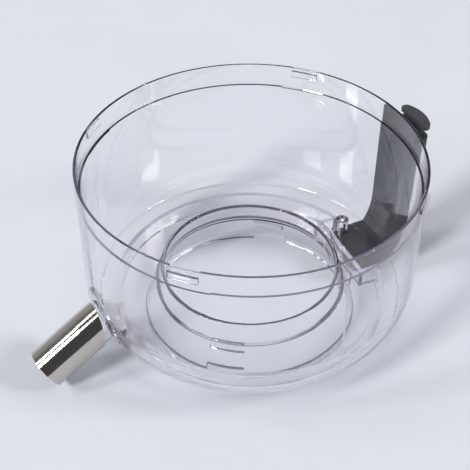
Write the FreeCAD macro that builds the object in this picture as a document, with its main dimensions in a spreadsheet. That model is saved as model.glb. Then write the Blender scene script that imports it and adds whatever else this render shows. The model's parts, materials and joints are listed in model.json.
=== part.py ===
import FreeCAD, Part
import os
import re
import Sketcher

# Clear juicer bowl with a stainless spout sleeve and a grey lid interlock housing.
# The Z axis is the bowl's axis and z = 0 is the table under the foot of the hub.
# The spout points to -Y. The interlock housing stands almost opposite, at +Y.

# Driving sizes, in millimetres and degrees
SIZES = (
    ("overall_height", 116.5),
    ("rim_radius", 100.8),
    ("rim_wall", 1.6),
    ("side_wall", 3.0),
    ("ledge_drop", 14.4),
    ("corner_radius", 43.2),
    ("corner_rise", 20.0),
    ("floor_height", 25.0),
    ("floor_wall", 3.0),
    ("rim_round", 0.4),
    ("collar_round", 1.0),
    ("floor_round", 2.0),
    # Hub: a collar above the floor that widens below it down to a straight foot
    ("collar_rise", 12.0),
    ("collar_inset", 46.0),
    ("waist_inset", 42.2),
    ("foot_inset", 34.8),
    ("foot_land", 4.5),
    ("hub_wall", 2.4),
    # Skirt under the floor, with a niche that lets the housing's leg pass
    ("skirt_inset", 16.8),
    ("skirt_wall", 3.0),
    ("skirt_depth", 13.5),
    ("niche_half_width", 25.0),
    ("niche_depth", 16.5),
    # Lid lugs outside the rim and the dips of the ledge behind them
    ("lug_count", 4),
    ("lug_angle", 40.0),
    ("lug_span_angle", 9.6),
    ("lug_proud", 1.5),
    ("lug_drop", 3.5),
    ("lug_height", 4.0),
    ("dip_span_angle", 16.0),
    ("dip_depth", 0.75),
    ("dip_slant", 0.6),
    # Bayonet on the foot: notches in its edge and ribs inside above them
    ("bayonet_count", 2),
    ("bayonet_angle", 137.0),
    ("bayonet_span_angle", 20.0),
    ("notch_height", 8.0),
    ("rib_base", 16.5),
    ("rib_height", 4.2),
    ("rib_proud", 2.0),
    # Spout: clear stub with a thin round pad along the wall, and the sleeve pressed on it
    ("spout_angle", 31.0),
    ("spout_inset", 0.8),
    ("spout_rise", 9.5),
    ("spout_length", 43.0),
    ("sleeve_radius", 12.7),
    ("sleeve_wall", 0.8),
    ("sleeve_fit", 0.1),
    ("land_length", 31.0),
    ("root_taper", 0.3),
    ("sleeve_setback", 1.8),
    ("stub_wall", 1.5),
    ("stub_recess", 4.0),
    ("stub_inside", 9.0),
    ("pad_radius", 18.5),
    ("pad_proud", 1.0),
    ("pad_reach", 4.0),
    # Interlock housing
    ("housing_angle", 3.9),
    ("housing_half_width", 16.4),
    ("housing_gap", 0.3),
    ("housing_depth", 8.0),
    ("housing_round", 1.5),
    ("plate_drop", 2.9),
    ("plate_wall", 1.9),
    ("shoulder_drop", 14.0),
    ("heel_radius", 25.0),
    ("leg_gap", 1.0),
    ("leg_round", 4.0),
    ("mark_offset", 5.5),
    ("mark_width", 0.8),
    ("mark_depth", 0.8),
    ("mark_drop", 4.0),
    ("mark_length", 28.0),
    # Spine at the back of the housing, and the well in it for the plunger
    ("spine_half_width", 12.6),
    ("spine_proud", 6.6),
    ("spine_foot", 10.0),
    ("spine_round", 5.0),
    ("well_half_width", 8.9),
    ("well_setback", 3.8),
    ("well_wall", 1.6),
    ("well_depth", 38.5),
    ("well_round", 3.0),
    # Plunger: a D-shaped head on a stem with one stop barb
    ("plunger_travel", 6.0),
    ("plunger_gap", 0.3),
    ("head_drop", 4.5),
    ("head_thickness", 3.2),
    ("head_setback", 8.4),
    ("head_proud", 2.0),
    ("head_half_width", 13.0),
    ("head_arc", 24.0),
    ("head_corner", 3.6),
    ("head_nose", 1.5),
    ("head_edge", 0.5),
    ("stem_length", 24.0),
    ("barb_half_width", 2.0),
    ("barb_height", 3.0),
    ("barb_lift", 1.5),
    ("barb_proud", 1.2),
    # Return spring under the stem
    ("spring_radius", 2.25),
    ("spring_wire", 0.7),
    ("spring_turns", 9),
    ("spring_gap", 0.3),
    ("post_height", 6.0),
    ("spring_seat", 10.8),
    # Screw that holds the leg to a boss on the bowl's floor
    ("screw_inset", 4.5),
    ("screw_offset", 11.4),
    ("boss_radius", 4.2),
    ("boss_height", 10.0),
    ("pilot_radius", 1.5),
    ("pilot_depth", 11.0),
    ("screw_radius", 1.45),
    ("screw_length", 15.0),
    ("screw_clearance", 0.4),
    ("cap_radius", 3.2),
    ("cap_height", 2.4),
    ("sink_depth", 3.2),
    ("cross_width", 0.9),
    ("cross_length", 3.6),
    ("cross_depth", 1.4),
)

# Places worked out from the driving sizes
PLACES = (
    ("collar_height", "floor_height + collar_rise"),
    ("collar_radius", "rim_radius - collar_inset"),
    ("waist_radius", "rim_radius - waist_inset"),
    ("foot_radius", "rim_radius - foot_inset"),
    ("skirt_radius", "rim_radius - skirt_inset"),
    ("skirt_base", "floor_height - skirt_depth"),
    ("niche_reach", "skirt_radius - niche_depth"),
    ("spout_reach", "rim_radius - spout_inset"),
    ("spout_height", "floor_height + spout_rise"),
    ("pad_face", "rim_radius + pad_proud"),
    ("housing_back", "rim_radius + housing_depth"),
    ("plate_top", "overall_height - plate_drop"),
    ("shoulder_height", "overall_height - shoulder_drop"),
    ("leg_end", "niche_reach + leg_gap"),
    ("mark_top", "shoulder_height - mark_drop"),
    ("mark_base", "mark_top - mark_length"),
    ("spine_back", "housing_back + spine_proud"),
    ("well_front", "rim_radius + well_setback"),
    ("well_back", "spine_back - well_wall"),
    ("well_floor", "shoulder_height - well_depth"),
    ("spine_base", "well_floor - spine_foot"),
    ("head_top", "overall_height - head_drop"),
    ("head_front", "rim_radius + head_setback"),
    ("head_back", "spine_back + head_proud"),
    ("screw_reach", "leg_end + screw_inset"),
    ("wall_inside", "rim_radius - side_wall"),
    ("rim_inside", "rim_radius - rim_wall"),
    ("ledge_height", "overall_height - ledge_drop"),
    ("corner_height", "floor_height + corner_rise"),
    ("inner_corner", "corner_radius - side_wall"),
    ("corner_centre", "rim_radius - corner_radius"),
    ("floor_under", "floor_height - floor_wall"),
    ("floor_middle", "floor_height - floor_wall / 2"),
    ("under_edge", "corner_centre + sqrt(corner_radius ^ 2 - (corner_height - floor_under) ^ 2)"),
    ("floor_edge", "corner_centre + sqrt(inner_corner ^ 2 - (corner_height - floor_height) ^ 2)"),
    ("above_rim", "overall_height + side_wall"),
    ("collar_inside", "collar_radius - hub_wall"),
    ("waist_inside", "waist_radius - hub_wall"),
    ("foot_inside", "foot_radius - hub_wall"),
    ("collar_slope", "(waist_radius - collar_radius) / (collar_height - floor_under)"),
    ("collar_root", "collar_radius + collar_slope * (collar_height - floor_height)"),
    ("cavity_inside", "collar_inside - hub_wall"),
    ("skirt_inside", "skirt_radius - skirt_wall"),
    ("skirt_rise", "floor_middle - skirt_base"),
    ("niche_mouth", "sqrt(skirt_radius ^ 2 - niche_half_width ^ 2)"),
    ("niche_side", "niche_half_width + skirt_wall"),
    ("niche_back", "niche_reach - skirt_wall"),
    ("niche_root", "sqrt(skirt_inside ^ 2 - niche_side ^ 2)"),
    ("lug_top", "overall_height - lug_drop"),
    ("lug_base", "lug_top - lug_height"),
    ("lug_face", "rim_radius + lug_proud"),
    ("lug_seat", "rim_radius - rim_wall / 2"),
    ("dip_base", "ledge_height - dip_depth"),
    ("dip_outside", "rim_inside - dip_slant"),
    ("notch_inside", "foot_inside - hub_wall"),
    ("notch_outside", "foot_radius + hub_wall"),
    ("rib_top", "rib_base + rib_height"),
    ("hub_slope", "(foot_radius - waist_radius) / (floor_under - foot_land)"),
    ("rib_wall_low", "foot_inside - hub_slope * (rib_base - foot_land)"),
    ("rib_wall_top", "foot_inside - hub_slope * (rib_top - foot_land)"),
    ("rib_low", "rib_wall_low - rib_proud"),
    ("rib_high", "rib_wall_top - rib_proud"),
    ("rib_root_low", "rib_wall_low + hub_wall / 2"),
    ("rib_root_high", "rib_wall_top + hub_wall / 2"),
    ("sleeve_inside", "sleeve_radius - sleeve_wall"),
    ("land_end", "spout_length - land_length"),
    ("sleeve_root", "sleeve_radius - root_taper"),
    ("stub_radius", "sleeve_inside - sleeve_fit"),
    ("stub_bore", "stub_radius - stub_wall"),
    ("stub_end", "spout_length - stub_recess"),
    ("bore_start", "stub_inside + stub_wall"),
    ("bore_end", "spout_length + stub_recess"),
    ("pad_corner", "corner_radius + pad_proud"),
    ("pad_low", "corner_centre + sqrt(pad_corner ^ 2 - (corner_height - skirt_base) ^ 2)"),
    ("pad_clear", "pad_face + pad_radius"),
    ("sleeve_face", "pad_face + sleeve_setback"),
    ("sleeve_cut", "sleeve_face - spout_length"),
    ("sleeve_high", "spout_height + spout_length"),
    ("hug_radius", "rim_radius + housing_gap"),
    ("hug_corner", "corner_radius + housing_gap"),
    ("hug_top", "plate_top + side_wall"),
    ("hug_edge", "corner_centre + sqrt(hug_corner ^ 2 - (corner_height - floor_under) ^ 2)"),
    ("heel_height", "skirt_base + heel_radius"),
    ("heel_reach", "housing_back - heel_radius"),
    ("plate_back", "hug_radius + plate_wall"),
    ("shelf_back", "housing_back + spine_back"),
    ("mark_left", "mark_offset - mark_width / 2"),
    ("mark_right", "mark_offset + mark_width / 2"),
    ("mark_back", "hug_radius + mark_depth"),
    ("spine_front", "housing_back - plate_wall"),
    ("spine_rise", "shoulder_height - spine_base"),
    ("spine_turn", "spine_back - spine_round"),
    ("spine_corner", "spine_half_width - spine_round"),
    ("well_rise", "shoulder_height - well_floor"),
    ("well_turn", "well_back - well_round"),
    ("well_corner", "well_half_width - well_round"),
    ("head_base", "head_top - head_thickness"),
    ("spring_top", "head_base - spring_seat"),
    ("head_centre", "head_back - head_arc"),
    ("head_side", "head_centre + sqrt(head_arc ^ 2 - head_half_width ^ 2)"),
    ("stem_base", "head_base - stem_length"),
    ("stem_front", "well_front + plunger_gap"),
    ("stem_back", "well_back - plunger_gap"),
    ("stem_half_width", "well_half_width - plunger_gap"),
    ("stem_round", "well_round - plunger_gap"),
    ("stem_turn", "stem_back - stem_round"),
    ("stem_corner", "stem_half_width - stem_round"),
    ("barb_base", "stem_base + barb_lift"),
    ("barb_top", "barb_base + barb_height"),
    ("barb_back", "stem_back + barb_proud"),
    ("barb_seat", "stem_back - plunger_gap"),
    ("slot_top", "barb_top + plunger_gap"),
    ("slot_base", "barb_base - plunger_travel - plunger_gap"),
    ("slot_half_width", "barb_half_width + plunger_gap"),
    ("slot_front", "well_back - plunger_gap"),
    ("slot_back", "spine_back + plunger_gap"),
    ("spring_reach", "(stem_front + stem_back) / 2"),
    ("spring_bore", "spring_radius + spring_wire / 2 + spring_gap"),
    ("spring_ceiling", "spring_top + spring_gap + spring_wire / 2"),
    ("spring_bore_depth", "spring_ceiling - stem_base"),
    ("post_radius", "spring_radius - spring_wire / 2 - spring_gap"),
    ("post_rise", "well_floor + post_height - spine_base"),
    ("spring_start", "well_floor + spring_gap + spring_wire / 2"),
    ("spring_rise", "spring_top - spring_start"),
    ("wire_radius", "spring_wire / 2"),
    ("boss_top", "floor_height + boss_height"),
    ("boss_rise", "boss_top - floor_middle"),
    ("pass_radius", "screw_radius + screw_clearance"),
    ("sink_radius", "cap_radius + screw_clearance"),
    ("sink_height", "skirt_base + sink_depth"),
    ("cap_base", "sink_height - cap_height"),
    ("screw_tip", "sink_height + screw_length"),
    ("leg_turn", "leg_end + leg_round"),
    ("cross_left", "-screw_offset - cross_length / 2"),
    ("cross_near", "-screw_offset - cross_width / 2"),
    ("cross_far", "-screw_offset + cross_width / 2"),
    ("cross_right", "-screw_offset + cross_length / 2"),
    ("cross_low", "screw_reach - cross_length / 2"),
    ("cross_front", "screw_reach - cross_width / 2"),
    ("cross_back", "screw_reach + cross_width / 2"),
    ("cross_high", "screw_reach + cross_length / 2"),
)

# Two places closer than this are one place
NEAR = 0.01

doc = FreeCAD.newDocument("JuicerBowl")

sizes = doc.addObject("Spreadsheet::Sheet", "Sizes")
for row, (size_name, size_value) in enumerate(SIZES, 1):
    sizes.set(f"A{row}", size_name)
    sizes.set(f"B{row}", str(size_value))
    sizes.setAlias(f"B{row}", size_name)
doc.recompute()

DRIVING = {size_name for size_name, size_value in SIZES}


def link(name):
    """Expression for a named value, with its sign."""
    sign = "-" if name.startswith("-") else ""
    bare = name.lstrip("-")
    home = "Sizes" if bare in DRIVING else "Places"
    return f"{sign}{home}.{bare}"


places = doc.addObject("App::VarSet", "Places")
for place_name, formula in PLACES:
    places.addProperty("App::PropertyFloat", place_name, "Places", "")
    linked = re.sub(r"[a-z]+(?:_[a-z]+)+", lambda found: link(found.group()), formula)
    places.setExpression(place_name, linked)
doc.recompute()


def number(name):
    """Present value of a named size or place, with its sign."""
    if name == "0":
        return 0.0
    bare = name.lstrip("-")
    home = sizes if bare in DRIVING else places
    size = float(getattr(home, bare))
    return -size if name.startswith("-") else size


def new_body(label):
    """An empty body for one piece."""
    body = doc.addObject("PartDesign::Body", label)
    body.Label = label
    return body


def clockwise(turn):
    """Turn about the bowl's axis as seen from below."""
    return FreeCAD.Rotation(FreeCAD.Vector(0, 0, -1), number(turn))


def stand_at_housing(body):
    """Turn a piece about the bowl's axis to the place of the housing."""
    body.Placement = FreeCAD.Placement(FreeCAD.Vector(), clockwise("housing_angle"))
    body.setExpression("Placement.Rotation.Angle", link("housing_angle"))


def sketch_on(body, role, name, turn=None, axis=(0, 0, 1), move=None):
    """A sketch on one of the body's own planes, turned about axis and moved by named values."""
    sketch = body.newObject("Sketcher::SketchObject", name)
    plane = next(item for item in body.Origin.OriginFeatures if item.Role == role)
    sketch.AttachmentSupport = [(plane, "")]
    sketch.MapMode = "FlatFace"
    if turn:
        rotation = FreeCAD.Rotation(FreeCAD.Vector(*axis), number(turn))
        sketch.AttachmentOffset = FreeCAD.Placement(FreeCAD.Vector(), rotation)
        sketch.setExpression("AttachmentOffset.Rotation.Angle", link(turn))
    for direction, place in (move or {}).items():
        sketch.setExpression(f"AttachmentOffset.Base.{direction}", link(place))
    return sketch


def hold(sketch, shape, end, corner):
    """Hold one end of a sketch line at a named place."""
    for kind, axis, place in (("DistanceX", -2, corner[0]), ("DistanceY", -1, corner[1])):
        if place == "0":
            sketch.addConstraint(Sketcher.Constraint("PointOnObject", shape, end, axis))
        else:
            row = sketch.addConstraint(Sketcher.Constraint(kind, shape, end, number(place)))
            sketch.setExpression(f"Constraints[{row}]", link(place))


def bind_radius(sketch, shape, name):
    """Give a circle or an arc a named radius."""
    row = sketch.addConstraint(Sketcher.Constraint("Radius", shape, number(name)))
    sketch.setExpression(f"Constraints[{row}]", link(name))


def outline(sketch, corners, arcs=None):
    """Closed outline through named corners. An entry of arcs bends the side that leaves its corner.

    It gives the arc's centre, its radius and the way it turns: "left" or "right".
    """
    arcs = arcs or {}
    spots = [FreeCAD.Vector(number(across), number(up), 0) for across, up in corners]
    ends = []
    for side, start in enumerate(spots):
        finish = spots[(side + 1) % len(spots)]
        if side not in arcs:
            shape = sketch.addGeometry(Part.LineSegment(start, finish))
            ends.append((shape, 1, 2))
            continue
        across, up, radius, way = arcs[side]
        centre = FreeCAD.Vector(number(across), number(up), 0)
        first, last = (start, finish) if way == "left" else (finish, start)
        circle = Part.Circle(centre, FreeCAD.Vector(0, 0, 1), number(radius))
        arc = Part.ArcOfCircle(circle, circle.parameter(first), circle.parameter(last))
        shape = sketch.addGeometry(arc)
        ends.append((shape, 1, 2) if way == "left" else (shape, 2, 1))
    for side, (shape, tail, head) in enumerate(ends):
        following, following_tail, _ = ends[(side + 1) % len(ends)]
        sketch.addConstraint(Sketcher.Constraint("Coincident", shape, head, following, following_tail))
    for side, (shape, tail, head) in enumerate(ends):
        hold(sketch, shape, tail, corners[side])
        if side in arcs:
            bind_radius(sketch, shape, arcs[side][2])


def rectangle(sketch, left, right, low, high):
    """Rectangle between named places."""
    outline(sketch, ((left, low), (right, low), (right, high), (left, high)))


def circle_at(sketch, across, up, radius):
    """Circle of a named radius about a named place."""
    centre = FreeCAD.Vector(number(across), number(up), 0)
    shape = sketch.addGeometry(Part.Circle(centre, FreeCAD.Vector(0, 0, 1), number(radius)))
    hold(sketch, shape, 3, (across, up))
    bind_radius(sketch, shape, radius)


def rounded_back(sketch, half_width, front, back, turn, side, radius):
    """Outline that is square in front and has two rounded corners at the back."""
    corners = (
        (f"-{half_width}", front),
        (half_width, front),
        (half_width, turn),
        (side, back),
        (f"-{side}", back),
        (f"-{half_width}", turn),
    )
    arcs = {2: (side, turn, radius, "left"), 4: (f"-{side}", turn, radius, "left")}
    outline(sketch, corners, arcs)


def turned(body, kind, name, sketch, axis="V_Axis", span=None):
    """Turn a section about an axis, all the way or over a named span centred on the sketch."""
    feature = body.newObject(f"PartDesign::{kind}", name)
    feature.Profile = sketch
    feature.ReferenceAxis = (sketch, [axis])
    if span:
        feature.Midplane = True
        feature.setExpression("Angle", link(span))
    return feature


def padded(body, name, sketch, length, both_sides=False, backwards=False):
    """Raise a section by a named length."""
    feature = body.newObject("PartDesign::Pad", name)
    feature.Profile = sketch
    feature.setExpression("Length", link(length))
    feature.Reversed = backwards
    if both_sides:
        feature.SideType = "Symmetric"
        feature.setExpression("Length", f"2 * {link(length)}")
    return feature


def pocketed(body, name, sketch, depth, both_sides=False, backwards=False):
    """Cut a section away to a named depth."""
    feature = body.newObject("PartDesign::Pocket", name)
    feature.Profile = sketch
    feature.setExpression("Length", link(depth))
    feature.Reversed = backwards
    if both_sides:
        feature.SideType = "Symmetric"
        feature.setExpression("Length", f"2 * {link(depth)}")
    return feature


def repeated(body, name, feature, count):
    """Repeat a feature evenly around the bowl's axis."""
    pattern = body.newObject("PartDesign::PolarPattern", name)
    axis = next(item for item in body.Origin.OriginFeatures if item.Role == "Z_Axis")
    pattern.Originals = [feature]
    pattern.Axis = (axis, [""])
    pattern.Angle = 360
    pattern.setExpression("Occurrences", link(count))
    body.Tip = pattern


def filleted(body, name, feature, radius, wanted):
    """Round the edges that the test picks out."""
    doc.recompute()
    rows = [f"Edge{row}" for row, edge in enumerate(feature.Shape.Edges, 1) if wanted(edge)]
    fillet = body.newObject("PartDesign::Fillet", name)
    fillet.Base = (feature, rows)
    fillet.setExpression("Radius", link(radius))
    body.Tip = fillet
    return fillet


def upright_edge(edge):
    """Whether an edge is a straight upright one."""
    box = edge.BoundBox
    return box.XLength < NEAR and box.YLength < NEAR and box.ZLength > NEAR


def ring_at(edge, radius, height):
    """Whether an edge is part of a level circle of this radius about the bowl's axis."""
    curve = edge.Curve
    if not isinstance(curve, Part.Circle):
        return False
    centre = curve.Center
    on_axis = abs(centre.x) < NEAR and abs(centre.y) < NEAR
    return on_axis and abs(curve.Radius - radius) < NEAR and abs(centre.z - height) < NEAR


def along_spout(body, name):
    """A sketch whose x axis is the spout's axis, running up into the bowl from the spout's mouth."""
    sketch = sketch_on(body, "YZ_Plane", name, turn="spout_angle")
    sketch.setExpression("AttachmentOffset.Base.x", link("-spout_reach"))
    sketch.setExpression("AttachmentOffset.Base.y", link("spout_height"))
    return sketch


# Bowl: one clear moulding
bowl = new_body("bowl")

outer_section = sketch_on(bowl, "XZ_Plane", "OuterSection")
outline(
    outer_section,
    (
        ("rim_radius", "overall_height"),
        ("collar_inside", "overall_height"),
        ("collar_inside", "collar_height"),
        ("waist_inside", "floor_under"),
        ("foot_inside", "foot_land"),
        ("foot_inside", "0"),
        ("foot_radius", "0"),
        ("foot_radius", "foot_land"),
        ("waist_radius", "floor_under"),
        ("under_edge", "floor_under"),
        ("rim_radius", "corner_height"),
    ),
    {9: ("corner_centre", "corner_height", "corner_radius", "left")},
)
turned(bowl, "Revolution", "OuterForm", outer_section)

skirt_plan = sketch_on(bowl, "XY_Plane", "SkirtPlan", "housing_angle", (0, 0, -1), {"z": "skirt_base"})
outline(
    skirt_plan,
    (
        ("niche_half_width", "niche_mouth"),
        ("niche_half_width", "niche_reach"),
        ("-niche_half_width", "niche_reach"),
        ("-niche_half_width", "niche_mouth"),
    ),
    {3: ("0", "0", "skirt_radius", "left")},
)
outline(
    skirt_plan,
    (
        ("niche_side", "niche_root"),
        ("niche_side", "niche_back"),
        ("-niche_side", "niche_back"),
        ("-niche_side", "niche_root"),
    ),
    {3: ("0", "0", "skirt_inside", "left")},
)
padded(bowl, "Skirt", skirt_plan, "skirt_rise")

pad_section = along_spout(bowl, "PadSection")
rectangle(pad_section, "-pad_reach", "stub_inside", "0", "pad_radius")
turned(bowl, "Revolution", "SpoutPad", pad_section, "H_Axis")

pad_trim_section = sketch_on(bowl, "XZ_Plane", "PadTrimSection")
outline(
    pad_trim_section,
    (
        ("pad_low", "skirt_base"),
        ("pad_face", "corner_height"),
        ("pad_face", "overall_height"),
        ("pad_clear", "overall_height"),
        ("pad_clear", "skirt_base"),
    ),
    {0: ("corner_centre", "corner_height", "pad_corner", "left")},
)
turned(bowl, "Groove", "PadTrim", pad_trim_section)

stub_section = along_spout(bowl, "StubSection")
rectangle(stub_section, "-stub_end", "stub_inside", "0", "stub_radius")
turned(bowl, "Revolution", "SpoutStub", stub_section, "H_Axis")

cavity_section = sketch_on(bowl, "XZ_Plane", "CavitySection")
outline(
    cavity_section,
    (
        ("rim_inside", "above_rim"),
        ("cavity_inside", "above_rim"),
        ("cavity_inside", "collar_height"),
        ("collar_radius", "collar_height"),
        ("collar_root", "floor_height"),
        ("floor_edge", "floor_height"),
        ("wall_inside", "corner_height"),
        ("wall_inside", "ledge_height"),
        ("rim_inside", "ledge_height"),
    ),
    {5: ("corner_centre", "corner_height", "inner_corner", "left")},
)
turned(bowl, "Groove", "Cavity", cavity_section)

bore_section = along_spout(bowl, "BoreSection")
rectangle(bore_section, "-bore_end", "bore_start", "0", "stub_bore")
turned(bowl, "Groove", "SpoutBore", bore_section, "H_Axis")

lug_section = sketch_on(bowl, "XZ_Plane", "LugSection", "lug_angle", (0, 1, 0))
rectangle(lug_section, "lug_seat", "lug_face", "lug_base", "lug_top")
lug = turned(bowl, "Revolution", "LidLug", lug_section, span="lug_span_angle")
repeated(bowl, "LidLugs", lug, "lug_count")

dip_section = sketch_on(bowl, "XZ_Plane", "DipSection", "lug_angle", (0, 1, 0))
outline(
    dip_section,
    (
        ("wall_inside", "dip_base"),
        ("dip_outside", "dip_base"),
        ("rim_inside", "ledge_height"),
        ("wall_inside", "ledge_height"),
    ),
)
dip = turned(bowl, "Groove", "LedgeDip", dip_section, span="dip_span_angle")
repeated(bowl, "LedgeDips", dip, "lug_count")

notch_section = sketch_on(bowl, "XZ_Plane", "NotchSection", "bayonet_angle", (0, 1, 0))
rectangle(notch_section, "notch_inside", "notch_outside", "0", "notch_height")
notch = turned(bowl, "Groove", "BayonetNotch", notch_section, span="bayonet_span_angle")
repeated(bowl, "BayonetNotches", notch, "bayonet_count")

rib_section = sketch_on(bowl, "XZ_Plane", "RibSection", "bayonet_angle", (0, 1, 0))
outline(
    rib_section,
    (
        ("rib_low", "rib_base"),
        ("rib_root_low", "rib_base"),
        ("rib_root_high", "rib_top"),
        ("rib_high", "rib_top"),
    ),
)
rib = turned(bowl, "Revolution", "BayonetRib", rib_section, span="bayonet_span_angle")
repeated(bowl, "BayonetRibs", rib, "bayonet_count")

boss_plan = sketch_on(bowl, "XY_Plane", "BossPlan", "housing_angle", (0, 0, -1), {"z": "floor_middle"})
circle_at(boss_plan, "-screw_offset", "screw_reach", "boss_radius")
padded(bowl, "ScrewBoss", boss_plan, "boss_rise")

pilot_plan = sketch_on(bowl, "XY_Plane", "PilotPlan", "housing_angle", (0, 0, -1), {"z": "floor_under"})
circle_at(pilot_plan, "-screw_offset", "screw_reach", "pilot_radius")
pilot = pocketed(bowl, "PilotHole", pilot_plan, "pilot_depth", backwards=True)

rim_rounds = filleted(
    bowl,
    "RimRounds",
    pilot,
    "rim_round",
    lambda edge: ring_at(edge, number("rim_radius"), number("overall_height"))
    or ring_at(edge, number("rim_inside"), number("overall_height")),
)
collar_rounds = filleted(
    bowl,
    "CollarRounds",
    rim_rounds,
    "collar_round",
    lambda edge: ring_at(edge, number("collar_radius"), number("collar_height"))
    or ring_at(edge, number("collar_inside"), number("collar_height")),
)
filleted(
    bowl,
    "FloorRounds",
    collar_rounds,
    "floor_round",
    lambda edge: ring_at(edge, number("collar_root"), number("floor_height"))
    or ring_at(edge, number("floor_edge"), number("floor_height")),
)

# Stainless sleeve, mitred where it meets the pad. A hose or a cap fits the land at its mouth
spout_tube = new_body("spout_tube")

sleeve_section = along_spout(spout_tube, "SleeveSection")
outline(
    sleeve_section,
    (
        ("-spout_length", "sleeve_inside"),
        ("stub_inside", "sleeve_inside"),
        ("stub_inside", "sleeve_root"),
        ("-land_end", "sleeve_radius"),
        ("-spout_length", "sleeve_radius"),
    ),
)
turned(spout_tube, "Revolution", "Sleeve", sleeve_section, "H_Axis")

mitre_section = sketch_on(spout_tube, "YZ_Plane", "MitreSection")
rectangle(mitre_section, "-sleeve_face", "-sleeve_cut", "0", "sleeve_high")
pocketed(spout_tube, "Mitre", mitre_section, "pad_radius", both_sides=True)

# Interlock housing: an upright that hugs the wall and a leg under the floor
housing = new_body("interlock_housing")
stand_at_housing(housing)

side_profile = sketch_on(housing, "YZ_Plane", "SideProfile")
outline(
    side_profile,
    (
        ("leg_end", "skirt_base"),
        ("heel_reach", "skirt_base"),
        ("housing_back", "heel_height"),
        ("housing_back", "plate_top"),
        ("leg_end", "plate_top"),
    ),
    {1: ("heel_reach", "heel_height", "heel_radius", "left")},
)
upright = padded(housing, "Upright", side_profile, "housing_half_width", both_sides=True)

leg_corners = filleted(
    housing,
    "LegCorners",
    upright,
    "leg_round",
    lambda edge: upright_edge(edge) and edge.BoundBox.YMax < number("leg_turn"),
)
filleted(
    housing,
    "BackCorners",
    leg_corners,
    "housing_round",
    lambda edge: upright_edge(edge) and edge.BoundBox.YMin > number("heel_reach"),
)

hug_section = sketch_on(housing, "XZ_Plane", "HugSection")
outline(
    hug_section,
    (
        ("niche_back", "floor_under"),
        ("hug_edge", "floor_under"),
        ("hug_radius", "corner_height"),
        ("hug_radius", "hug_top"),
        ("niche_back", "hug_top"),
    ),
    {1: ("corner_centre", "corner_height", "hug_corner", "left")},
)
turned(housing, "Groove", "WallHug", hug_section)

shelf_section = sketch_on(housing, "XZ_Plane", "ShelfSection")
rectangle(shelf_section, "plate_back", "shelf_back", "shoulder_height", "hug_top")
turned(housing, "Groove", "TopShelf", shelf_section)

spine_plan = sketch_on(housing, "XY_Plane", "SpinePlan", move={"z": "spine_base"})
rounded_back(
    spine_plan,
    "spine_half_width",
    "spine_front",
    "spine_back",
    "spine_turn",
    "spine_corner",
    "spine_round",
)
padded(housing, "Spine", spine_plan, "spine_rise")

well_plan = sketch_on(housing, "XY_Plane", "WellPlan", move={"z": "well_floor"})
rounded_back(
    well_plan,
    "well_half_width",
    "well_front",
    "well_back",
    "well_turn",
    "well_corner",
    "well_round",
)
pocketed(housing, "Well", well_plan, "well_rise", backwards=True)

post_plan = sketch_on(housing, "XY_Plane", "PostPlan", move={"z": "spine_base"})
circle_at(post_plan, "0", "spring_reach", "post_radius")
padded(housing, "SpringPost", post_plan, "post_rise")

window_section = sketch_on(housing, "YZ_Plane", "BarbWindowSection")
rectangle(window_section, "slot_front", "slot_back", "slot_base", "slot_top")
pocketed(housing, "BarbWindow", window_section, "slot_half_width", both_sides=True)

mark_outline = sketch_on(housing, "XZ_Plane", "MarkOutline", move={"z": "-mark_back"})
rectangle(mark_outline, "-mark_right", "-mark_left", "mark_base", "mark_top")
pocketed(housing, "FaceMark", mark_outline, "mark_back", backwards=True)

passage_plan = sketch_on(housing, "XY_Plane", "PassagePlan", move={"z": "skirt_base"})
circle_at(passage_plan, "-screw_offset", "screw_reach", "pass_radius")
pocketed(housing, "ScrewPassage", passage_plan, "floor_under", backwards=True)

sink_plan = sketch_on(housing, "XY_Plane", "SinkPlan", move={"z": "skirt_base"})
circle_at(sink_plan, "-screw_offset", "screw_reach", "sink_radius")
pocketed(housing, "ScrewSink", sink_plan, "sink_depth", backwards=True)

# Interlock plunger: the lid presses its head down
plunger = new_body("interlock_plunger")
stand_at_housing(plunger)

head_plan = sketch_on(plunger, "XY_Plane", "HeadPlan", move={"z": "head_base"})
outline(
    head_plan,
    (
        ("-head_half_width", "head_front"),
        ("head_half_width", "head_front"),
        ("head_half_width", "head_side"),
        ("-head_half_width", "head_side"),
    ),
    {2: ("0", "head_centre", "head_arc", "left")},
)
head = padded(plunger, "Head", head_plan, "head_thickness")

back_corners = filleted(
    plunger,
    "HeadCorners",
    head,
    "head_corner",
    lambda edge: upright_edge(edge) and edge.BoundBox.YMin > number("head_front") + NEAR,
)
nose_corners = filleted(
    plunger,
    "HeadNose",
    back_corners,
    "head_nose",
    lambda edge: upright_edge(edge) and edge.BoundBox.YMax < number("head_front") + NEAR,
)
filleted(
    plunger,
    "HeadEdge",
    nose_corners,
    "head_edge",
    lambda edge: edge.BoundBox.ZMin > number("head_top") - NEAR,
)

stem_plan = sketch_on(plunger, "XY_Plane", "StemPlan", move={"z": "stem_base"})
rounded_back(
    stem_plan,
    "stem_half_width",
    "stem_front",
    "stem_back",
    "stem_turn",
    "stem_corner",
    "stem_round",
)
padded(plunger, "Stem", stem_plan, "stem_length")

barb_section = sketch_on(plunger, "YZ_Plane", "BarbSection")
outline(
    barb_section,
    (
        ("barb_seat", "barb_base"),
        ("stem_back", "barb_base"),
        ("barb_back", "barb_top"),
        ("barb_seat", "barb_top"),
    ),
)
padded(plunger, "Barb", barb_section, "barb_half_width", both_sides=True)

spring_hole_plan = sketch_on(plunger, "XY_Plane", "SpringHolePlan", move={"z": "stem_base"})
circle_at(spring_hole_plan, "0", "spring_reach", "spring_bore")
pocketed(plunger, "SpringHole", spring_hole_plan, "spring_bore_depth", backwards=True)

# Return spring between the well's floor and the stem
spring = new_body("plunger_spring")
stand_at_housing(spring)

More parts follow.
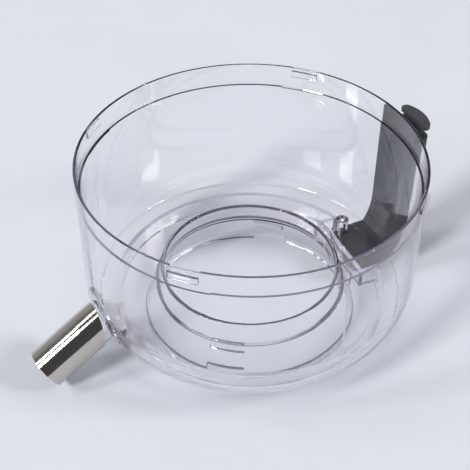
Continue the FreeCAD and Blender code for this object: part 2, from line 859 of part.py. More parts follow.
wire_section = sketch_on(spring, "XZ_Plane", "WireSection", move={"z": "-spring_reach"})
circle_at(wire_section, "spring_radius", "spring_start", "wire_radius")
coil = spring.newObject("PartDesign::AdditiveHelix", "Coil")
coil.Profile = wire_section
coil.ReferenceAxis = (wire_section, ["V_Axis"])
coil.Mode = "height-turns-angle"
coil.setExpression("Height", link("spring_rise"))
coil.setExpression("Turns", link("spring_turns"))
spring.Tip = coil

# Pan-head screw
screw = new_body("housing_screw")
stand_at_housing(screw)

screw_place = {"x": "-screw_offset", "z": "-screw_reach"}
screw_section = sketch_on(screw, "XZ_Plane", "ScrewSection", move=screw_place)
outline(
    screw_section,
    (
        ("0", "cap_base"),
        ("cap_radius", "cap_base"),
        ("cap_radius", "sink_height"),
        ("screw_radius", "sink_height"),
        ("screw_radius", "screw_tip"),
        ("0", "screw_tip"),
    ),
)
turned(screw, "Revolution", "Screw", screw_section)

cross_plan = sketch_on(screw, "XY_Plane", "CrossPlan", move={"z": "cap_base"})
outline(
    cross_plan,
    (
        ("cross_left", "cross_front"),
        ("cross_near", "cross_front"),
        ("cross_near", "cross_low"),
        ("cross_far", "cross_low"),
        ("cross_far", "cross_front"),
        ("cross_right", "cross_front"),
        ("cross_right", "cross_back"),
        ("cross_far", "cross_back"),
        ("cross_far", "cross_high"),
        ("cross_near", "cross_high"),
        ("cross_near", "cross_back"),
        ("cross_left", "cross_back"),
    ),
)
pocketed(screw, "CrossSlot", cross_plan, "cross_depth", backwards=True)

doc.recompute()

# Every feature has to be sound, and every cut has to take something away, before a file is written
for item in doc.Objects:
    if "Invalid" in item.State or "Error" in item.State:
        raise RuntimeError(f"{item.Name} could not be built: {item.State}")
    if item.TypeId in ("PartDesign::Pocket", "PartDesign::Groove"):
        if item.BaseFeature.Shape.Volume - item.Shape.Volume < NEAR:
            raise RuntimeError(f"{item.Name} takes nothing away")

pieces = doc.findObjects("PartDesign::Body")
for piece in pieces:
    if piece.Shape.isNull() or not piece.Shape.isValid():
        raise RuntimeError(f"{piece.Label} has no valid shape")

os.makedirs("parts", exist_ok=True)
for piece in pieces:
    piece.Shape.exportStep(f"parts/{piece.Label}.step")
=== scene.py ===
import json
import math

import bpy
from mathutils import Matrix, Vector


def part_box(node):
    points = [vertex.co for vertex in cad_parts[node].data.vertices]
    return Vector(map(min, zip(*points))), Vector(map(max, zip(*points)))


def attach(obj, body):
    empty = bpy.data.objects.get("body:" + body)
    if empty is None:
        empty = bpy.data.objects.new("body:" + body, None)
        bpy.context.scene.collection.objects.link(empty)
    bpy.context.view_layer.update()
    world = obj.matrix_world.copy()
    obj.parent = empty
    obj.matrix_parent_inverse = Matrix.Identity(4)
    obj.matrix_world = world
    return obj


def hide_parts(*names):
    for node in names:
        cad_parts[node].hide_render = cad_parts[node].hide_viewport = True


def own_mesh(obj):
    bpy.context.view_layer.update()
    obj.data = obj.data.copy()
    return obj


# Looks and stage for a clear juicer bowl with a steel spout sleeve and a grey lid interlock.
# Everything is in metres, in the frame of the packed part: Z up, the spout towards -Y.

bl_info = {
    "name": "Juicer Bowl Looks",
    "version": (1, 0, 0),
    "blender": (4, 5, 0),
    "location": "View3D > Sidebar > Juicer Bowl",
    "description": "Finishes the clear bowl, its steel sleeve and its lid interlock, and sets the stage",
    "category": "Object",
}

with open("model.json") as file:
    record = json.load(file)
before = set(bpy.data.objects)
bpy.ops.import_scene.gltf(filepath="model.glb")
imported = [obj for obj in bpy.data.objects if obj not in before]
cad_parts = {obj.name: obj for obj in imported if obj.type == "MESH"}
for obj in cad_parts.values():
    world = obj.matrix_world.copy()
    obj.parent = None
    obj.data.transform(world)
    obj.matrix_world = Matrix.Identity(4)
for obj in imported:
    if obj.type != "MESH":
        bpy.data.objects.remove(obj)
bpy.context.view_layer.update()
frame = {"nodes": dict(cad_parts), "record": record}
NODES = frame["nodes"]

# Photograph's frame, in pixels, and the camera's sensor, in millimetres
PHOTO_SIDE = 470
SENSOR_WIDTH = 36.0
# Windows of the room: name, azimuths and elevations they cover, and how many times the window
# light they are as bright
WINDOWS = (
    ("side_pane", (-190.0, -171.0), (46.5, 56.0), 0.28),
    ("left_pane", (-170.0, -159.0), (30.0, 46.0), 0.6),
    ("front_pane", (-144.0, -130.0), (30.0, 46.0), 1.25),
    ("right_window", (-20.0, -4.0), (30.0, 43.0), 0.85),
)
WINDOW_DISTANCE = 12.0
# Floor: its side, and how far it lies under the foot so that the two faces don't flicker
FLOOR_SIDE = 60.0
FLOOR_GAP = 0.0003
# Nearest that the camera sees
NEAREST_SIGHT = 0.01
# Corners of the spring's mesh nearer than this are one
SAME_POINT = 0.000001
# Reflections after which light leaves the clear plastic
MOST_REFLECTIONS = 2.5
# The room gets darker from its far side to the camera's: where that starts and ends, as the cosine
# of the angle from the camera, and the share of the light that is left there
DARK_SIDE = (-0.3, 0.75, 0.18)
# Height of the rim, which the camera's place is measured from
RIM_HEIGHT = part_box("bowl")[1].z
# Where the noise starts and ends when it is spread over a range
NOISE_RANGE = (0.3, 0.7)
# How finely each mottle drifts, as noise per metre
HAZE_SCALE = 38.0
WAVE_SCALE = 16.0
STAIN_SCALE = 60.0
FASTENER_SHINE_SCALE = 900.0
FASTENER_TONE_SCALE = 400.0
SATIN_TONE_SCALE = 55.0
SATIN_SHINE_SCALE = 90.0
SATIN_SKIN_SCALE = 2400.0
FLOOR_TONE_SCALE = 9.0
# Colours that drift: the shares of the colour between which they do
STAIN_TONES = (0.93, 1.0)
FASTENER_TONES = (0.8, 1.0)
SATIN_TONES = (0.9, 1.08)
FLOOR_TONES = (0.97, 1.0)
# Roughness that drifts: of the fasteners, and around the set value for the sleeve and the satin
FASTENER_ROUGHNESS = (0.26, 0.42)
SLEEVE_SPREAD = (-0.01, 0.015)
SATIN_SPREAD = (-0.06, 0.08)
# Bumps: strength, and height in metres
WAVE_BUMP = (0.08, 0.0012)
SATIN_BUMP = (0.35, 0.00004)
# How far highlights on the sleeve stretch along it
SLEEVE_STRETCH = 0.85
# Slant of a face to the light at which the shadow's tint starts to change
SLANT_START = 0.45
# Opaque plastic: its refractive index, and how much of the usual reflection it has
SATIN_BEND = 1.5
SATIN_REFLECTION = 0.3
# Floor: its roughness, and how much of the usual reflection it has
FLOOR_ROUGHNESS = 0.75
FLOOR_REFLECTION = 0.2


class BowlFinish(bpy.types.PropertyGroup):
    """Clear plastic of the bowl."""

    surface_tint: bpy.props.FloatVectorProperty(
        name="Surface Tint",
        description="Colour of light that passes one face of the plastic",
        subtype="COLOR",
        size=3,
        min=0.0,
        max=1.0,
        default=(0.998, 0.998, 1.0),
    )
    depth_tint: bpy.props.FloatVectorProperty(
        name="Depth Tint",
        description="Colour that long ways through the plastic take on",
        subtype="COLOR",
        size=3,
        min=0.0,
        max=1.0,
        default=(0.80, 0.78, 0.90),
    )
    depth_density: bpy.props.FloatProperty(
        name="Depth Density",
        description="How soon the depth tint shows, per metre",
        min=0.0,
        default=22.0,
    )
    bend: bpy.props.FloatProperty(
        name="Refractive Index",
        description="How strongly the plastic bends light",
        min=1.0,
        max=2.0,
        default=1.57,
    )
    polish: bpy.props.FloatProperty(
        name="Roughness",
        description="Roughness of the clean polished plastic",
        subtype="FACTOR",
        min=0.0,
        max=1.0,
        default=0.006,
    )
    haze: bpy.props.FloatProperty(
        name="Handling Haze",
        description="Extra roughness where the plastic was wiped and handled",
        subtype="FACTOR",
        min=0.0,
        max=1.0,
        default=0.012,
    )
    shadow_tint: bpy.props.FloatVectorProperty(
        name="Shadow Tint",
        description="Colour of light that passes one face squarely on its way to the floor",
        subtype="COLOR",
        size=3,
        min=0.0,
        max=1.0,
        default=(0.975, 0.975, 0.985),
    )
    edge_shadow: bpy.props.FloatVectorProperty(
        name="Edge Shadow",
        description="Colour of light that grazes a face on its way to the floor",
        subtype="COLOR",
        size=3,
        min=0.0,
        max=1.0,
        default=(0.3, 0.3, 0.36),
    )
    line_tint: bpy.props.FloatVectorProperty(
        name="Line Tint",
        description="Colour of light that was reflected inside the plastic several times",
        subtype="COLOR",
        size=3,
        min=0.0,
        max=1.0,
        default=(0.22, 0.205, 0.26),
    )


class MetalFinish(bpy.types.PropertyGroup):
    """Stainless steel of the sleeve, the spring and the screw."""

    sleeve_colour: bpy.props.FloatVectorProperty(
        name="Sleeve Colour",
        description="Warm grey of the brushed sleeve",
        subtype="COLOR",
        size=3,
        min=0.0,
        max=1.0,
        default=(0.6, 0.565, 0.515),
    )
    sleeve_roughness: bpy.props.FloatProperty(
        name="Sleeve Roughness",
        description="Mean roughness of the brushed sleeve",
        subtype="FACTOR",
        min=0.0,
        max=1.0,
        default=0.09,
    )
    brush_pitch: bpy.props.FloatProperty(
        name="Brush Pitch",
        description="Distance over which the brushing changes, along the tube",
        subtype="DISTANCE",
        min=0.0,
        default=0.00035,
    )
    fastener_colour: bpy.props.FloatVectorProperty(
        name="Fastener Colour",
        description="Grey of the screw and the spring",
        subtype="COLOR",
        size=3,
        min=0.0,
        max=1.0,
        default=(0.55, 0.55, 0.56),
    )


class HousingFinish(bpy.types.PropertyGroup):
    """Grey plastic of the interlock."""

    housing_colour: bpy.props.FloatVectorProperty(
        name="Housing Colour",
        description="Dark grey of the housing",
        subtype="COLOR",
        size=3,
        min=0.0,
        max=1.0,
        default=(0.052, 0.057, 0.061),
    )
    plunger_colour: bpy.props.FloatVectorProperty(
        name="Plunger Colour",
        description="Grey of the plunger, a little lighter than the housing's",
        subtype="COLOR",
        size=3,
        min=0.0,
        max=1.0,
        default=(0.056, 0.061, 0.065),
    )
    satin: bpy.props.FloatProperty(
        name="Satin Roughness",
        description="Roughness of the moulded satin skin",
        subtype="FACTOR",
        min=0.0,
        max=1.0,
        default=0.5,
    )


class StageSetting(bpy.types.PropertyGroup):
    """Camera, floor, windows and room light."""

    turn: bpy.props.FloatProperty(
        name="Camera Turn",
        description="Turn of the camera about the bowl's axis, from in front of the spout",
        subtype="ANGLE",
        default=math.radians(60.4),
    )
    elevation: bpy.props.FloatProperty(
        name="Camera Elevation",
        description="How steeply the camera looks down",
        subtype="ANGLE",
        default=math.radians(40.805),
    )
    roll: bpy.props.FloatProperty(
        name="Camera Roll",
        description="Tilt of the camera about its line of sight",
        subtype="ANGLE",
        default=math.radians(0.15),
    )
    distance: bpy.props.FloatProperty(
        name="Camera Distance",
        description="Distance from the rim's centre to the camera, along its line of sight",
        subtype="DISTANCE",
        unit="LENGTH",
        default=0.56081,
    )
    aim_across: bpy.props.FloatProperty(
        name="Aim Across",
        description="How far the camera stands to the right of the rim's centre",
        subtype="DISTANCE",
        unit="LENGTH",
        default=-0.00925,
    )
    aim_up: bpy.props.FloatProperty(
        name="Aim Up",
        description="How far the camera stands above the rim's centre, across its line of sight",
        subtype="DISTANCE",
        unit="LENGTH",
        default=-0.04482,
    )
    focal_pixels: bpy.props.FloatProperty(
        name="Focal Length in Pixels",
        description="Focal length, in pixels of the photograph",
        default=988.5,
    )
    floor_colour: bpy.props.FloatVectorProperty(
        name="Floor Colour",
        description="Pale blue-grey of the floor",
        subtype="COLOR",
        size=3,
        min=0.0,
        max=1.0,
        default=(0.78, 0.805, 0.865),
    )
    sky_colour: bpy.props.FloatVectorProperty(
        name="Room Colour",
        description="Colour of the room's soft light",
        subtype="COLOR",
        size=3,
        min=0.0,
        max=1.0,
        default=(0.93, 0.95, 1.0),
    )
    sky_strength: bpy.props.FloatProperty(
        name="Room Light",
        description="Strength of the room's soft light",
        min=0.0,
        default=0.48,
    )
    window_light: bpy.props.FloatProperty(
        name="Window Light",
        description="Brightness of the windows, before each one's own factor",
        min=0.0,
        default=27.5,
    )


def node_tree(material_name):
    """A new node material and its tree, empty but for its output."""
    material = bpy.data.materials.new(material_name)
    material.use_nodes = True
    tree = material.node_tree
    tree.nodes.clear()
    output = tree.nodes.new("ShaderNodeOutputMaterial")
    output.location = (900, 0)
    return material, tree, output


def add_node(tree, kind, place, **settings):
    """A node of a tree at a place, with plain settings."""
    node = tree.nodes.new(kind)
    node.location = place
    for setting, value in settings.items():
        setattr(node, setting, value)
    return node


def noise_group():
    """Node group for mottle: a value between two limits that drifts over the surface, and its height."""
    name = "Surface Mottle"
    if name in bpy.data.node_groups:
        return bpy.data.node_groups[name]
    group = bpy.data.node_groups.new(name, "ShaderNodeTree")
    for label, kind, value in (
        ("Scale", "NodeSocketFloat", 100.0),
        ("Low", "NodeSocketFloat", 0.0),
        ("High", "NodeSocketFloat", 1.0),
    ):
        socket = group.interface.new_socket(name=label, in_out="INPUT", socket_type=kind)
        socket.default_value = value
    group.interface.new_socket(name="Value", in_out="OUTPUT", socket_type="NodeSocketFloat")
    group.interface.new_socket(name="Height", in_out="OUTPUT", socket_type="NodeSocketFloat")
    inputs = add_node(group, "NodeGroupInput", (-700, 0))
    place = add_node(group, "ShaderNodeTexCoord", (-700, 260))
    noise = add_node(group, "ShaderNodeTexNoise", (-220, 120))
    noise.inputs["Detail"].default_value = 4.0
    noise.inputs["Roughness"].default_value = 0.6
    spread = add_node(group, "ShaderNodeMapRange", (20, 0))
    spread.inputs["From Min"].default_value = NOISE_RANGE[0]
    spread.inputs["From Max"].default_value = NOISE_RANGE[1]
    outputs = add_node(group, "NodeGroupOutput", (260, 0))
    join = group.links.new
    join(place.outputs["Object"], noise.inputs["Vector"])
    join(inputs.outputs["Scale"], noise.inputs["Scale"])
    join(noise.outputs["Fac"], spread.inputs["Value"])
    join(inputs.outputs["Low"], spread.inputs["To Min"])
    join(inputs.outputs["High"], spread.inputs["To Max"])
    join(spread.outputs["Result"], outputs.inputs["Value"])
    join(noise.outputs["Fac"], outputs.inputs["Height"])
    return group


def mottle(tree, place, scale, low=0.0, high=1.0):
    """A mottle group placed in a material with its own values."""
    node = add_node(tree, "ShaderNodeGroup", place, node_tree=noise_group())
    node.inputs["Scale"].default_value = scale
    node.inputs["Low"].default_value = low
    node.inputs["High"].default_value = high
    return node


def drifting_colour(tree, scale, colour, shares):
    """A colour that drifts over the surface between two shares of itself."""
    tone = mottle(tree, (-340, 240), scale)
    ramp = add_node(tree, "ShaderNodeValToRGB", (-100, 340))
    for stop, share in zip(ramp.color_ramp.elements, shares):
        stop.color = (*(share * part for part in colour), 1.0)
    tree.links.new(tone.outputs["Value"], ramp.inputs["Fac"])
    return ramp


def bumps(tree, place, scale, strength, height):
    """Bumps that drift over the surface."""
    drift = mottle(tree, (place[0] - 280, place[1]), scale)
    bump = add_node(tree, "ShaderNodeBump", place)
    bump.inputs["Strength"].default_value = strength
    bump.inputs["Distance"].default_value = height
    tree.links.new(drift.outputs["Height"], bump.inputs["Height"])
    return bump


def clear_plastic(finish):
    """Clear moulded plastic with a faint tint that deepens along its edges."""
    material, tree, output = node_tree("Clear Plastic")
    shader = add_node(tree, "ShaderNodeBsdfPrincipled", (300, 120))
    shader.inputs["Base Color"].default_value = (*finish.surface_tint, 1.0)
    shader.inputs["Transmission Weight"].default_value = 1.0
    shader.inputs["IOR"].default_value = finish.bend
    haze = mottle(tree, (-300, 60), HAZE_SCALE, finish.polish, finish.polish + finish.haze)
    waves = bumps(tree, (20, -160), WAVE_SCALE, *WAVE_BUMP)
    # Light that was reflected several times leaves the plastic straight ahead
    path = add_node(tree, "ShaderNodeLightPath", (20, 620))
    tired = add_node(tree, "ShaderNodeMath", (260, 520), operation="GREATER_THAN")
    tired.inputs[1].default_value = MOST_REFLECTIONS
    leaving = add_node(tree, "ShaderNodeBsdfTransparent", (300, 320))
    leaving.inputs["Color"].default_value = (*finish.line_tint, 1.0)
    body = add_node(tree, "ShaderNodeMixShader", (560, 220))
    # Light on its way to the floor passes straight through, and less of it where it grazes a face
    soft_ray = add_node(tree, "ShaderNodeMath", (260, 700), operation="MAXIMUM")
    slant = add_node(tree, "ShaderNodeLayerWeight", (-200, -420))
    veil = add_node(tree, "ShaderNodeValToRGB", (0, -420))
    veil.color_ramp.elements[0].position = SLANT_START
    veil.color_ramp.elements[0].color = (*finish.shadow_tint, 1.0)
    veil.color_ramp.elements[1].color = (*finish.edge_shadow, 1.0)
    through = add_node(tree, "ShaderNodeBsdfTransparent", (300, -260))
    blend = add_node(tree, "ShaderNodeMixShader", (740, 120))
    depth = add_node(tree, "ShaderNodeVolumeAbsorption", (740, -160))
    depth.inputs["Color"].default_value = (*finish.depth_tint, 1.0)
    depth.inputs["Density"].default_value = finish.depth_density
    join = tree.links.new
    join(haze.outputs["Value"], shader.inputs["Roughness"])
    join(waves.outputs["Normal"], shader.inputs["Normal"])
    join(path.outputs["Glossy Depth"], tired.inputs[0])
    join(tired.outputs["Value"], body.inputs["Fac"])
    join(shader.outputs["BSDF"], body.inputs[1])
    join(leaving.outputs["BSDF"], body.inputs[2])
    join(path.outputs["Is Shadow Ray"], soft_ray.inputs[0])
    join(path.outputs["Is Diffuse Ray"], soft_ray.inputs[1])
    join(soft_ray.outputs["Value"], blend.inputs["Fac"])
    join(slant.outputs["Facing"], veil.inputs["Fac"])
    join(veil.outputs["Color"], through.inputs["Color"])
    join(body.outputs["Shader"], blend.inputs[1])
    join(through.outputs["BSDF"], blend.inputs[2])
    join(blend.outputs["Shader"], output.inputs["Surface"])
    join(depth.outputs["Volume"], output.inputs["Volume"])
    return material


def brushed_steel(finish):
    """Warm stainless steel, brushed around the tube."""
    material, tree, output = node_tree("Brushed Sleeve Steel")
    shader = add_node(tree, "ShaderNodeBsdfPrincipled", (300, 120))
    shader.inputs["Metallic"].default_value = 1.0
    shader.inputs["Anisotropic"].default_value = SLEEVE_STRETCH
    # The brushing runs around the tube, so it changes along the spout alone
    place = add_node(tree, "ShaderNodeTexCoord", (-900, -200))
    along = add_node(tree, "ShaderNodeVectorMath", (-700, -200), operation="DOT_PRODUCT")
    along.inputs[1].default_value = tuple(spout_direction())
    pitch = add_node(tree, "ShaderNodeMath", (-520, -200), operation="DIVIDE")
    pitch.inputs[1].default_value = finish.brush_pitch
    lines = add_node(tree, "ShaderNodeTexNoise", (-340, -200), noise_dimensions="1D")
    lines.inputs["Scale"].default_value = 1.0
    lines.inputs["Detail"].default_value = 3.0
    shine = add_node(tree, "ShaderNodeMapRange", (-100, 40))
    shine.inputs["From Min"].default_value = NOISE_RANGE[0]
    shine.inputs["From Max"].default_value = NOISE_RANGE[1]
    shine.inputs["To Min"].default_value = finish.sleeve_roughness + SLEEVE_SPREAD[0]
    shine.inputs["To Max"].default_value = finish.sleeve_roughness + SLEEVE_SPREAD[1]
    colour = drifting_colour(tree, STAIN_SCALE, finish.sleeve_colour, STAIN_TONES)
    # Highlights stretch along the tube
    grain = add_node(tree, "ShaderNodeCombineXYZ", (40, -460))
    for axis, part in zip("XYZ", spout_direction()):
        grain.inputs[axis].default_value = part
    join = tree.links.new
    join(grain.outputs["Vector"], shader.inputs["Tangent"])
    join(place.outputs["Object"], along.inputs[0])
    join(along.outputs["Value"], pitch.inputs[0])
    join(pitch.outputs["Value"], lines.inputs["W"])
    join(lines.outputs["Fac"], shine.inputs["Value"])
    join(shine.outputs["Result"], shader.inputs["Roughness"])
    join(colour.outputs["Color"], shader.inputs["Base Color"])
    join(shader.outputs["BSDF"], output.inputs["Surface"])
    return material


def spout_direction():
    """Direction of the spout's axis, out of the bowl, from the record's own mount."""
    mounts = frame["record"]["mounts"]
    return Vector(next(mount["axis"] for mount in mounts if mount["name"] == "spout"))


def fastener_steel(finish):
    """Bright steel of the screw and the spring, made once."""
    name = "Fastener Steel"
    if name in bpy.data.materials:
        return bpy.data.materials[name]
    material, tree, output = node_tree(name)
    shader = add_node(tree, "ShaderNodeBsdfPrincipled", (300, 120))
    shader.inputs["Metallic"].default_value = 1.0
    shine = mottle(tree, (-100, 0), FASTENER_SHINE_SCALE, *FASTENER_ROUGHNESS)
    colour = drifting_colour(tree, FASTENER_TONE_SCALE, finish.fastener_colour, FASTENER_TONES)
    join = tree.links.new
    join(shine.outputs["Value"], shader.inputs["Roughness"])
    join(colour.outputs["Color"], shader.inputs["Base Color"])
    join(shader.outputs["BSDF"], output.inputs["Surface"])
    return material


def satin_plastic(name, tint, satin):
    """Opaque moulded plastic with a fine satin skin."""
    material, tree, output = node_tree(name)
    shader = add_node(tree, "ShaderNodeBsdfPrincipled", (300, 120))
    shader.inputs["IOR"].default_value = SATIN_BEND
    shader.inputs["Specular IOR Level"].default_value = SATIN_REFLECTION
    colour = drifting_colour(tree, SATIN_TONE_SCALE, tint, SATIN_TONES)
    low, high = (satin + change for change in SATIN_SPREAD)
    shine = mottle(tree, (-100, 40), SATIN_SHINE_SCALE, low, high)
    skin = bumps(tree, (-60, -240), SATIN_SKIN_SCALE, *SATIN_BUMP)
    join = tree.links.new
    join(colour.outputs["Color"], shader.inputs["Base Color"])
    join(shine.outputs["Value"], shader.inputs["Roughness"])
    join(skin.outputs["Normal"], shader.inputs["Normal"])
    join(shader.outputs["BSDF"], output.inputs["Surface"])
    return material


def dress(node_name, material):
    """Give a part of the frame its material."""
    part = NODES[node_name]
    part.data.materials.clear()
    part.data.materials.append(material)


class JUICERBOWL_OT_clear_bowl(bpy.types.Operator):
    """Finish the clear bowl"""

    bl_idname = "juicerbowl.clear_bowl"
    bl_label = "Clear Bowl"

    def execute(self, context):
        dress("bowl", clear_plastic(context.scene.juicer_bowl_finish))
        return {"FINISHED"}


class JUICERBOWL_OT_spout_sleeve(bpy.types.Operator):
    """Finish the steel sleeve of the spout"""

    bl_idname = "juicerbowl.spout_sleeve"
    bl_label = "Spout Sleeve"

    def execute(self, context):
        dress("spout_tube", brushed_steel(context.scene.juicer_metal_finish))
        return {"FINISHED"}


class JUICERBOWL_OT_interlock(bpy.types.Operator):
    """Finish the interlock's housing and its plunger"""

    bl_idname = "juicerbowl.interlock"
    bl_label = "Lid Interlock"

    def execute(self, context):
        finish = context.scene.juicer_housing_finish
        dress("interlock_housing", satin_plastic("Housing Grey", finish.housing_colour, finish.satin))
        dress("interlock_plunger", satin_plastic("Plunger Grey", finish.plunger_colour, finish.satin))
        return {"FINISHED"}


class JUICERBOWL_OT_return_spring(bpy.types.Operator):
    """Coil of the return spring as one mesh in fastener steel, on the bowl; the real spring is squeezed
    as the plunger goes down
    """

    bl_idname = "juicerbowl.return_spring"
    bl_label = "Return Spring"

    def execute(self, context):
        bpy.ops.object.select_all(action="DESELECT")
        spring = bpy.data.objects.new("return_spring", NODES["plunger_spring"].data.copy())
        context.scene.collection.objects.link(spring)
        spring.select_set(True)
        context.view_layer.objects.active = spring
        bpy.ops.object.mode_set(mode="EDIT")
        bpy.ops.mesh.select_all(action="SELECT")
        bpy.ops.mesh.remove_doubles(threshold=SAME_POINT)
        bpy.ops.object.mode_set(mode="OBJECT")
        spring.data.materials.clear()
        spring.data.materials.append(fastener_steel(context.scene.juicer_metal_finish))
        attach(spring, "bowl_body")
        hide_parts("plunger_spring")
        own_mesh(spring)
        return {"FINISHED"}


class JUICERBOWL_OT_fasteners(bpy.types.Operator):
    """Finish the screw"""

    bl_idname = "juicerbowl.fasteners"
    bl_label = "Screw"

    def execute(self, context):
        dress("housing_screw", fastener_steel(context.scene.juicer_metal_finish))
        return {"FINISHED"}


def floor_material(setting):
    """Pale matt floor whose tone drifts a little."""
    material, tree, output = node_tree("Pale Floor")
    shader = add_node(tree, "ShaderNodeBsdfPrincipled", (300, 120))
    shader.inputs["Roughness"].default_value = FLOOR_ROUGHNESS
    shader.inputs["Specular IOR Level"].default_value = FLOOR_REFLECTION
    colour = drifting_colour(tree, FLOOR_TONE_SCALE, setting.floor_colour, FLOOR_TONES)
    join = tree.links.new
    join(colour.outputs["Color"], shader.inputs["Base Color"])
    join(shader.outputs["BSDF"], output.inputs["Surface"])
    return material


def add_window(name, turn, azimuths, elevations, brightness):
    """A window of even brightness that faces the bowl, given by the degrees it covers.

    Azimuths are counted from the camera's right, anticlockwise from above.
    """
    across = math.radians(azimuths[1] - azimuths[0])
    tall = math.radians(elevations[1] - elevations[0])
    azimuth = math.radians(sum(azimuths) / 2) + turn
    elevation = math.radians(sum(elevations) / 2)
    lamp = bpy.data.lights.new(name, "AREA")
    lamp.shape = "RECTANGLE"
    lamp.size = 2 * WINDOW_DISTANCE * math.tan(across / 2) * math.cos(elevation)
    lamp.size_y = 2 * WINDOW_DISTANCE * math.tan(tall / 2)
    lamp.energy = brightness * math.pi * lamp.size * lamp.size_y
    away = Vector((
        math.cos(elevation) * math.cos(azimuth),
        math.cos(elevation) * math.sin(azimuth),
        math.sin(elevation),
    ))
    holder = bpy.data.objects.new(name, lamp)
    holder.location = away * WINDOW_DISTANCE
    holder.rotation_mode = "QUATERNION"
    holder.rotation_quaternion = away.to_track_quat("Z", "Y")
    bpy.context.scene.collection.objects.link(holder)


class JUICERBOWL_OT_stage(bpy.types.Operator):
    """Lay the floor, hang the windows' lamps, set the camera and light the room"""

    bl_idname = "juicerbowl.stage"
    bl_label = "Stage"

    def execute(self, context):
        setting = context.scene.juicer_stage_setting
        bpy.ops.object.select_all(action="DESELECT")
        bpy.ops.mesh.primitive_plane_add(size=FLOOR_SIDE, location=(0.0, 0.0, -FLOOR_GAP))
        floor = context.active_object
        floor.name = "floor"
        floor.data.materials.append(floor_material(setting))

        for name, azimuths, elevations, factor in WINDOWS:
            add_window(name, setting.turn, azimuths, elevations, factor * setting.window_light)

        set_camera(context.scene, setting)
        context.scene.world = soft_room(setting, context.scene.camera.matrix_world.to_translation())
        context.scene.view_settings.view_transform = "Standard"
        return {"FINISHED"}


def soft_room(setting, camera_place):
    """Soft light from the whole room, less of it from the side where the camera stands."""
    world = bpy.data.worlds.new("Soft Room")
    world.use_nodes = True
    tree = world.node_tree
    sky = tree.nodes["Background"]
    sky.inputs["Color"].default_value = (*setting.sky_colour, 1.0)
    # Straight from the camera, the room looks like the far floor
    wall = add_node(tree, "ShaderNodeBackground", (10, 160))
    wall.inputs["Color"].default_value = (*setting.floor_colour, 1.0)
    path = add_node(tree, "ShaderNodeLightPath", (10, 480))
    seen = add_node(tree, "ShaderNodeMixShader", (220, 300))
    place = add_node(tree, "ShaderNodeTexCoord", (-700, 0))
    side = add_node(tree, "ShaderNodeVectorMath", (-500, 0), operation="DOT_PRODUCT")
    side.inputs[1].default_value = tuple(camera_place.normalized())
    share = add_node(tree, "ShaderNodeMapRange", (-300, 0), interpolation_type="SMOOTHSTEP")
    share.inputs["From Min"].default_value = DARK_SIDE[0]
    share.inputs["From Max"].default_value = DARK_SIDE[1]
    share.inputs["To Min"].default_value = setting.sky_strength
    share.inputs["To Max"].default_value = setting.sky_strength * DARK_SIDE[2]
    join = tree.links.new
    join(place.outputs["Generated"], side.inputs[0])
    join(side.outputs["Value"], share.inputs["Value"])
    join(share.outputs["Result"], sky.inputs["Strength"])
    join(path.outputs["Is Camera Ray"], seen.inputs["Fac"])
    join(sky.outputs["Background"], seen.inputs[1])
    join(wall.outputs["Background"], seen.inputs[2])
    join(seen.outputs["Shader"], tree.nodes["World Output"].inputs["Surface"])
    return world


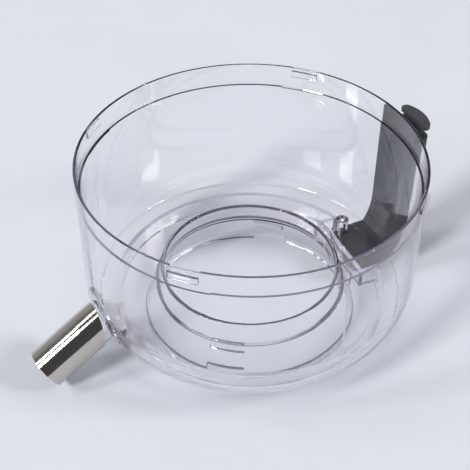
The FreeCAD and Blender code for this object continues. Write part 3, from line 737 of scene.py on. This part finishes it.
def set_camera(scene, setting):
    """Camera at the photograph's place."""
    sight = Vector((0.0, math.cos(setting.elevation), -math.sin(setting.elevation)))
    level = Vector((1.0, 0.0, 0.0))
    upright = level.cross(sight)
    across = math.cos(setting.roll) * level + math.sin(setting.roll) * upright
    up = -math.sin(setting.roll) * level + math.cos(setting.roll) * upright
    place = -setting.distance * sight + setting.aim_across * across + setting.aim_up * up
    axes = Matrix((across, up, -sight)).transposed().to_4x4()
    camera_data = bpy.data.cameras.new("photo_camera")
    camera_data.sensor_width = SENSOR_WIDTH
    camera_data.lens = setting.focal_pixels / PHOTO_SIDE * SENSOR_WIDTH
    camera_data.clip_start = NEAREST_SIGHT
    camera = bpy.data.objects.new("photo_camera", camera_data)
    rim_centre = Matrix.Translation((0.0, 0.0, RIM_HEIGHT))
    turned = Matrix.Rotation(setting.turn, 4, "Z")
    camera.matrix_world = rim_centre @ turned @ Matrix.Translation(place) @ axes
    scene.collection.objects.link(camera)
    scene.camera = camera


class JUICERBOWL_PT_panel(bpy.types.Panel):
    """Sidebar panel with the bowl's finishes and its stage"""

    bl_label = "Juicer Bowl"
    bl_idname = "JUICERBOWL_PT_panel"
    bl_space_type = "VIEW_3D"
    bl_region_type = "UI"
    bl_category = "Juicer Bowl"

    def draw(self, context):
        layout = self.layout
        for step in STEPS:
            layout.operator(step.bl_idname)
        for attribute, group in SETTINGS:
            box = layout.box()
            box.label(text=group.__doc__)
            settings = getattr(context.scene, attribute)
            for name in group.__annotations__:
                box.prop(settings, name)


SETTINGS = (
    ("juicer_bowl_finish", BowlFinish),
    ("juicer_metal_finish", MetalFinish),
    ("juicer_housing_finish", HousingFinish),
    ("juicer_stage_setting", StageSetting),
)

STEPS = (
    JUICERBOWL_OT_clear_bowl,
    JUICERBOWL_OT_spout_sleeve,
    JUICERBOWL_OT_interlock,
    JUICERBOWL_OT_return_spring,
    JUICERBOWL_OT_fasteners,
    JUICERBOWL_OT_stage,
)


def register():
    """Register the settings, the steps and the panel."""
    for attribute, group in SETTINGS:
        bpy.utils.register_class(group)
        setattr(bpy.types.Scene, attribute, bpy.props.PointerProperty(type=group))
    for step in STEPS:
        bpy.utils.register_class(step)
    bpy.utils.register_class(JUICERBOWL_PT_panel)


def unregister():
    """Take the panel, the steps and the settings out again."""
    bpy.utils.unregister_class(JUICERBOWL_PT_panel)
    for step in reversed(STEPS):
        bpy.utils.unregister_class(step)
    for attribute, group in reversed(SETTINGS):
        delattr(bpy.types.Scene, attribute)
        bpy.utils.unregister_class(group)


def main():
    """Run every step in order."""
    register()
    bpy.ops.juicerbowl.clear_bowl()
    bpy.ops.juicerbowl.spout_sleeve()
    bpy.ops.juicerbowl.interlock()
    bpy.ops.juicerbowl.return_spring()
    bpy.ops.juicerbowl.fasteners()
    bpy.ops.juicerbowl.stage()


if __name__ == "__main__":
    main()
